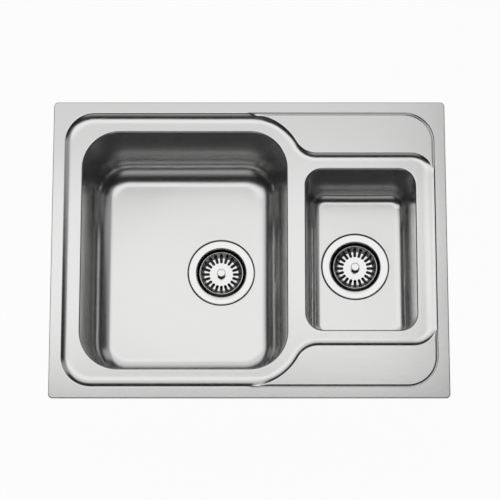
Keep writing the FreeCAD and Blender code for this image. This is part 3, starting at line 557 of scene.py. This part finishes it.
def make_basket(bowl):
    """Basket whose slots run from its floor up its rounding, with bars of even sheet between them."""
    bead = (BASKET_RIM - BASKET_BEAD, BASKET_TOP - BASKET_BEAD)
    foot = (BASKET_FOOT - BASKET_ROUND, BASKET_FLOOR + BASKET_ROUND)
    wall_top = (BASKET_RIM - 2 * BASKET_BEAD, BASKET_TOP - 2 * BASKET_BEAD)
    slot_top = np.array([SLOT_OUTER, SLOT_TOP])
    foot_arc = arc(foot, BASKET_ROUND, 0, -90, 10)
    floor_run = np.linspace(foot[0], SLOT_INNER, 8)[1:]
    upper = np.concatenate([arc(bead, BASKET_BEAD, BEAD_START, 180, 10), [wall_top]])
    zone = np.concatenate([
        np.linspace(slot_top, foot_arc[0], 5),
        foot_arc[1:],
        np.column_stack([floor_run, np.full_like(floor_run, BASKET_FLOOR)]),
    ])
    centre_radii = (SLOT_INNER - SLOT_MARGIN, BASKET_CENTRE, BASKET_EYE)
    centre = np.array([(radius, BASKET_FLOOR) for radius in centre_radii])
    profile = np.concatenate([upper, zone, centre])

    # Half the slot's width at each ring, narrowing to round ends
    run = np.concatenate([[0], np.cumsum(np.linalg.norm(np.diff(zone, axis=0), axis=1))])
    to_end = np.minimum(run, run[-1] - run)
    bite = np.clip(SLOT_HALF - to_end, 0, SLOT_HALF - SLOT_END_CUT)
    half = np.sqrt(SLOT_HALF**2 - bite**2)
    halves = np.concatenate([np.full(len(upper), half[0]), half, np.full(len(centre), half[-1])])

    pitch = 2 * math.pi / SLOTS
    inner_edge = math.asin(halves[-1] / SLOT_INNER)
    rings = []
    for (radius, height), reach in zip(profile, halves):
        edge = math.asin(reach / radius) if radius > SLOT_INNER - 2 * SLOT_MARGIN else inner_edge
        slot = np.linspace(-edge, edge, SLOT_STEPS + 1)[:-1]
        bar = np.linspace(edge, pitch - edge, BAR_STEPS + 1)[:-1]
        cell = np.concatenate([slot, bar])
        turns = np.concatenate([cell + pitch * k for k in range(SLOTS)])
        rings.append(level_ring(radius * np.stack([np.cos(turns), np.sin(turns)], 1), height))
    cell_steps = SLOT_STEPS + BAR_STEPS
    count = SLOTS * cell_steps
    points = np.concatenate(rings)
    faces = ring_faces(len(rings), count)
    normals = surface_normals(points, faces)
    first = len(upper)
    last = first + len(zone) - 1
    kept = []
    for number, face in enumerate(faces):
        ring, k = divmod(number, count)
        if first <= ring < last and k % cell_steps < SLOT_STEPS:
            continue
        kept.append(face)
    solid = thicken(points + waste_place(bowl), kept, normals, BASKET_SHEET)
    basket = f"{bowl}_basket"
    make_piece(f"{basket}_pressing", solid, "polished_steel", basket, basket)


def make_knob(bowl):
    """Knob that tapers to a nearly flat top, with its stem below."""
    top = BASKET_FLOOR + KNOB_HEIGHT
    edge = (KNOB_RADIUS - KNOB_EDGE, top - KNOB_CROWN - KNOB_EDGE)
    taper_start = (KNOB_FOOT, BASKET_FLOOR + KNOB_TAPER_START)
    profile = np.concatenate([
        [(AXIS_GAP, STEM_TIP), (STEM_RADIUS - STEM_CHAMFER, STEM_TIP)],
        [(STEM_RADIUS, STEM_TIP + STEM_CHAMFER), (STEM_RADIUS, BASKET_FLOOR)],
        [(KNOB_FOOT - KNOB_CHAMFER, BASKET_FLOOR), (KNOB_FOOT, BASKET_FLOOR + KNOB_CHAMFER)],
        np.linspace(taper_start, (KNOB_RADIUS, edge[1]), 5),
        arc(edge, KNOB_EDGE, 5, 85, 8),
        [(0.5 * KNOB_RADIUS, top - 0.25 * KNOB_CROWN), (AXIS_GAP, top)],
    ])
    points, faces = spin(profile)
    last = len(points) - TURNED_STEPS
    faces += [tuple(reversed(range(TURNED_STEPS))), tuple(range(last, len(points)))]
    solid = (points + waste_place(bowl), faces, surface_normals(points, faces))
    basket = f"{bowl}_basket"
    make_piece(f"{bowl}_knob_turning", solid, "polished_steel", basket, f"{basket}_knob")


# Finishes

NOISE_MIDDLE = 0.5
STREAK_DETAIL = 3.0
CLOUD_DETAIL = 0.5
LINE_DETAIL = 2.0


def add_node(tree, kind, **values):
    node = tree.nodes.new(kind)
    for name, value in values.items():
        setattr(node, name, value)
    return node


def math_node(tree, operation, first, second=None):
    """A Math node whose inputs are sockets or plain numbers."""
    node = add_node(tree, "ShaderNodeMath", operation=operation)
    for socket, value in zip(node.inputs, (first, second)):
        if value is None:
            continue
        if isinstance(value, (int, float)):
            socket.default_value = value
        else:
            tree.links.new(value, socket)
    return node.outputs[0]


def stretched_noise(tree, stretch, detail):
    """Noise about zero in the shared frame, with features of a size set along each axis."""
    where = add_node(tree, "ShaderNodeTexCoord")
    mapping = add_node(tree, "ShaderNodeMapping")
    mapping.inputs["Scale"].default_value = stretch
    noise = add_node(tree, "ShaderNodeTexNoise")
    noise.inputs["Scale"].default_value = 1.0
    noise.inputs["Detail"].default_value = detail
    tree.links.new(where.outputs["Object"], mapping.inputs["Vector"])
    tree.links.new(mapping.outputs["Vector"], noise.inputs["Vector"])
    return math_node(tree, "SUBTRACT", noise.outputs["Fac"], NOISE_MIDDLE)


def grain_group(name, stretch, cloud, line=(1.0, 1.0, 1.0)):
    """Surface grain: a base colour and roughness with fine streaks and slow clouds, and three heights."""
    tree = bpy.data.node_groups.new(name, "ShaderNodeTree")
    sockets = tree.interface
    sockets.new_socket("Colour", in_out="INPUT", socket_type="NodeSocketColor")
    for label in ("Roughness", "Streak", "Cloud", "Tone"):
        sockets.new_socket(label, in_out="INPUT", socket_type="NodeSocketFloat")
    sockets.new_socket("Colour", in_out="OUTPUT", socket_type="NodeSocketColor")
    for label in ("Roughness", "Grain", "Wave", "Lines"):
        sockets.new_socket(label, in_out="OUTPUT", socket_type="NodeSocketFloat")
    given = add_node(tree, "NodeGroupInput").outputs
    streak = stretched_noise(tree, stretch, STREAK_DETAIL)
    clouds = stretched_noise(tree, (cloud, cloud, cloud), CLOUD_DETAIL)
    lines = stretched_noise(tree, line, LINE_DETAIL)
    rough = math_node(tree, "ADD", given["Roughness"], math_node(tree, "MULTIPLY", streak, given["Streak"]))
    rough = math_node(tree, "ADD", rough, math_node(tree, "MULTIPLY", clouds, given["Cloud"]))
    shade = math_node(tree, "MULTIPLY", math_node(tree, "ADD", streak, clouds), given["Tone"])
    value = math_node(tree, "ADD", shade, 1.0)
    tint = add_node(tree, "ShaderNodeVectorMath", operation="SCALE")
    tree.links.new(given["Colour"], tint.inputs[0])
    tree.links.new(value, tint.inputs["Scale"])
    result = add_node(tree, "NodeGroupOutput").inputs
    tree.links.new(tint.outputs[0], result["Colour"])
    for label, socket in (("Roughness", rough), ("Grain", streak), ("Wave", clouds), ("Lines", lines)):
        tree.links.new(socket, result[label])
    return tree


def add_relief(tree, height, strength, distance, under=None):
    """A Bump node, which can lie on top of another one's normal."""
    relief = add_node(tree, "ShaderNodeBump")
    relief.inputs["Strength"].default_value = strength
    relief.inputs["Distance"].default_value = distance
    tree.links.new(height, relief.inputs["Height"])
    if under:
        tree.links.new(under, relief.inputs["Normal"])
    return relief.outputs["Normal"]


def make_finish(
        name, group, colour, roughness, metallic,
        streak, cloud, tone, bump, depth, wave=0.0, lines=0.0):
    """A finish from a grain group and its own values. Depth, wave and lines are heights in metres."""
    finish = bpy.data.materials.new(name)
    finish.use_nodes = True
    tree = finish.node_tree
    shader = tree.nodes["Principled BSDF"]
    shader.inputs["Metallic"].default_value = metallic
    grain = add_node(tree, "ShaderNodeGroup", node_tree=group)
    grain.inputs["Colour"].default_value = (*colour, 1)
    for label, value in (("Roughness", roughness), ("Streak", streak), ("Cloud", cloud), ("Tone", tone)):
        grain.inputs[label].default_value = value
    normal = add_relief(tree, grain.outputs["Grain"], bump, depth)
    if wave:
        normal = add_relief(tree, grain.outputs["Wave"], 1.0, wave, normal)
    if lines:
        normal = add_relief(tree, grain.outputs["Lines"], 1.0, lines, normal)
    tree.links.new(normal, shader.inputs["Normal"])
    tree.links.new(grain.outputs["Colour"], shader.inputs["Base Color"])
    tree.links.new(grain.outputs["Roughness"], shader.inputs["Roughness"])
    return finish


satin = grain_group("satin_grain", stretch=(60.0, 1800.0, 1800.0), cloud=5.0, line=(3.0, 3.0, 260.0))
turned = grain_group("turned_grain", stretch=(900.0, 900.0, 2400.0), cloud=40.0)
moulded = grain_group("moulded_grain", stretch=(700.0, 700.0, 700.0), cloud=30.0)
coarse = grain_group("coarse_grain", stretch=(260.0, 260.0, 260.0), cloud=22.0)

FINISHES = {
    "brushed_steel": make_finish(
        "satin_sheet", satin, (0.78, 0.78, 0.775), roughness=0.22, metallic=1.0,
        streak=0.14, cloud=0.05, tone=0.05, bump=0.06, depth=0.0002, wave=0.0016, lines=0.00008),
    "polished_steel": make_finish(
        "bright_sheet", turned, (0.80, 0.80, 0.795), roughness=0.10, metallic=1.0,
        streak=0.04, cloud=0.03, tone=0.03, bump=0.02, depth=0.0002),
    "zinc_steel": make_finish(
        "zinc_plate", coarse, (0.62, 0.63, 0.64), roughness=0.36, metallic=1.0,
        streak=0.12, cloud=0.15, tone=0.20, bump=0.10, depth=0.0002),
    "black_rubber": make_finish(
        "seal_rubber", moulded, (0.022, 0.022, 0.023), roughness=0.55, metallic=0.0,
        streak=0.15, cloud=0.15, tone=0.4, bump=0.15, depth=0.0003),
    "waste_plastic": make_finish(
        "moulded_white", moulded, (0.80, 0.80, 0.78), roughness=0.42, metallic=0.0,
        streak=0.12, cloud=0.12, tone=0.06, bump=0.10, depth=0.0002),
    "brass": make_finish(
        "turned_brass", turned, (0.76, 0.57, 0.27), roughness=0.28, metallic=1.0,
        streak=0.10, cloud=0.10, tone=0.10, bump=0.05, depth=0.0002),
    "bitumen_pad": make_finish(
        "damping_felt", coarse, (0.10, 0.10, 0.105), roughness=0.75, metallic=0.0,
        streak=0.20, cloud=0.15, tone=0.7, bump=0.50, depth=0.0008),
    "foam_strip": make_finish(
        "sealing_foam", coarse, (0.055, 0.055, 0.057), roughness=0.85, metallic=0.0,
        streak=0.10, cloud=0.10, tone=0.6, bump=0.50, depth=0.0006),
}
# Painted shade: a near-black metal colour that stands for the dark inside of the cup beneath the basket.
CUP_PAINTED_SHADE = make_finish(
    "cup_painted_shade", coarse, (0.09, 0.09, 0.09), roughness=0.45, metallic=1.0,
    streak=0.15, cloud=0.15, tone=0.3, bump=0.10, depth=0.0002)
for entry in frame["record"]["subparts"]:
    cad_node = frame["nodes"][entry["node"]]
    cad_node.material_slots[0].material = FINISHES[entry["material_slot"]]

make_deck()
for bowl_name in BOWLS:
    make_bowl(bowl_name)
    make_cup(bowl_name)
    make_seal(bowl_name)
    make_basket(bowl_name)
    make_knob(bowl_name)


# Floor, light and camera, in metres

WHITE = (1.0, 1.0, 1.0, 1.0)
FLOOR_GAP = 0.002
FLOOR_REACH = 8.0
FLOOR_PAINT = (0.9, 0.9, 0.9, 1.0)
FLOOR_ROUGHNESS = 0.8
FLOOR_WHITE = 0.96
FLOOR_MIRRORED = 0.45
ROOM_LIGHT = 0.012
FRONT_WALL_LIGHT = 0.4
FRONT_WALL_SPREAD = (0.5, 0.15)
FRONT_WALL_SLOPE = (-0.6, -1.5)
FRONT_WALL_FOOT = 0.05
CAMERA_TILT = math.radians(14.0)
CAMERA_DISTANCE = 3.8
CAMERA_AIM = Vector((0.0012, -0.0024, 0.0))
CAMERA_LENS_MM = 166.7
CAMERA_SENSOR_MM = 36.0
LAMPS = {
    "key_box": dict(place=(-0.16, 0.225, 1.15), width=1.18, depth=0.45, light=0.27),
    "back_box": dict(place=(-0.45, 0.86, 1.2), width=1.84, depth=1.9, light=0.55),
    "wide_box": dict(place=(-0.1, 0.58, 1.35), width=2.4, depth=1.4, light=0.25),
    "side_box": dict(place=(1.15, 0.87, 0.85), width=0.8, depth=1.1, light=0.35, aim=(-0.2, 0.22, 0.0)),
}
LOW_FILL = dict(width=0.8, depth=0.8, light=7.0, aim=(0.0, 0.0, -0.16), mirrored=False)
LOW_FILL_PLACES = ((-1.3, -1.1, 0.0), (1.3, -1.1, 0.0))


def make_floor():
    """Pale floor under the wastes, open when it is looked at from below."""
    mesh = bpy.data.meshes.new("floor")
    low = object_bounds()[0].z - FLOOR_GAP
    corners = [(-1, -1), (1, -1), (1, 1), (-1, 1)]
    mesh.from_pydata([(x * FLOOR_REACH, y * FLOOR_REACH, low) for x, y in corners], [], [(0, 1, 2, 3)])
    floor = bpy.data.objects.new("floor", mesh)
    bpy.context.scene.collection.objects.link(floor)
    paint = bpy.data.materials.new("floor_paint")
    paint.use_nodes = True
    tree = paint.node_tree
    shader = tree.nodes["Principled BSDF"]
    shader.inputs["Base Color"].default_value = FLOOR_PAINT
    shader.inputs["Roughness"].default_value = FLOOR_ROUGHNESS
    glow = add_node(tree, "ShaderNodeEmission")
    glow.inputs["Color"].default_value = WHITE
    mix = add_node(tree, "ShaderNodeMixShader")
    path = add_node(tree, "ShaderNodeLightPath").outputs
    seen = math_node(tree, "MULTIPLY", path["Is Camera Ray"], FLOOR_WHITE)
    mirrored = math_node(tree, "MAXIMUM", path["Is Glossy Ray"], path["Is Transmission Ray"])
    mirrored = math_node(tree, "MULTIPLY", mirrored, FLOOR_MIRRORED)
    share = math_node(tree, "MAXIMUM", seen, mirrored)
    tree.links.new(share, mix.inputs["Fac"])
    tree.links.new(shader.outputs["BSDF"], mix.inputs[1])
    tree.links.new(glow.outputs["Emission"], mix.inputs[2])
    side = add_node(tree, "ShaderNodeNewGeometry")
    open_below = add_node(tree, "ShaderNodeMixShader")
    clear = add_node(tree, "ShaderNodeBsdfTransparent")
    tree.links.new(side.outputs["Backfacing"], open_below.inputs["Fac"])
    tree.links.new(mix.outputs["Shader"], open_below.inputs[1])
    tree.links.new(clear.outputs["BSDF"], open_below.inputs[2])
    tree.links.new(open_below.outputs["Shader"], tree.nodes["Material Output"].inputs["Surface"])
    mesh.materials.append(paint)


def soft_edge(tree, value, start, end):
    """0 to 1 as a value goes from start to end."""
    ramp = add_node(tree, "ShaderNodeMapRange", interpolation_type="SMOOTHSTEP")
    ramp.inputs["From Min"].default_value = start
    ramp.inputs["From Max"].default_value = end
    tree.links.new(value, ramp.inputs["Value"])
    return ramp.outputs["Result"]


def make_room():
    """Dark room with a grey wall in front, white where the camera sees it directly."""
    world = bpy.data.worlds.new("room")
    bpy.context.scene.world = world
    world.use_nodes = True
    tree = world.node_tree
    where = add_node(tree, "ShaderNodeTexCoord")
    axes = add_node(tree, "ShaderNodeSeparateXYZ")
    tree.links.new(where.outputs["Generated"], axes.inputs[0])
    height = math_node(tree, "MAXIMUM", axes.outputs["Z"], FRONT_WALL_FOOT)
    along = math_node(tree, "DIVIDE", axes.outputs["Y"], height)
    across = math_node(tree, "ABSOLUTE", axes.outputs["X"])
    wall = math_node(tree, "MULTIPLY", soft_edge(tree, along, *FRONT_WALL_SLOPE), FRONT_WALL_LIGHT)
    wall = math_node(tree, "MULTIPLY", wall, soft_edge(tree, across, *FRONT_WALL_SPREAD))
    light = math_node(tree, "ADD", wall, ROOM_LIGHT)
    path = add_node(tree, "ShaderNodeLightPath")
    light = math_node(tree, "MAXIMUM", light, path.outputs["Is Camera Ray"])
    ground = tree.nodes["Background"]
    tree.links.new(light, ground.inputs["Strength"])
    ground.inputs["Color"].default_value = WHITE


def make_softbox(name, place, width, depth, light, aim=None, mirrored=True):
    """A rectangular lamp with a given radiance, facing down or at a point.

    One that isn't mirrored leaves the metals as they are and lights the other finishes.
    """
    glow = bpy.data.lights.new(name, "AREA")
    glow.shape = "RECTANGLE"
    glow.size = width
    glow.size_y = depth
    glow.energy = light * math.pi * width * depth
    lamp = bpy.data.objects.new(name, glow)
    lamp.location = place
    if aim:
        lamp.rotation_euler = (Vector(aim) - lamp.location).to_track_quat("-Z", "Y").to_euler()
    lamp.visible_camera = False
    lamp.visible_glossy = mirrored
    bpy.context.scene.collection.objects.link(lamp)


def make_camera():
    """Camera in front of the sink, nearly overhead."""
    lens = bpy.data.cameras.new("camera")
    lens.sensor_width = CAMERA_SENSOR_MM
    lens.lens = CAMERA_LENS_MM
    camera = bpy.data.objects.new("camera", lens)
    backwards = Vector((0, -math.sin(CAMERA_TILT), math.cos(CAMERA_TILT)))
    camera.location = CAMERA_AIM + backwards * CAMERA_DISTANCE
    camera.rotation_euler = (CAMERA_TILT, 0, 0)
    bpy.context.scene.collection.objects.link(camera)
    bpy.context.scene.camera = camera


make_floor()
make_room()
for lamp_name, lamp_values in LAMPS.items():
    make_softbox(lamp_name, **lamp_values)
for fill_place in LOW_FILL_PLACES:
    make_softbox("low_fill", fill_place, **LOW_FILL)
make_camera()
bpy.context.scene.view_settings.view_transform = "Standard"
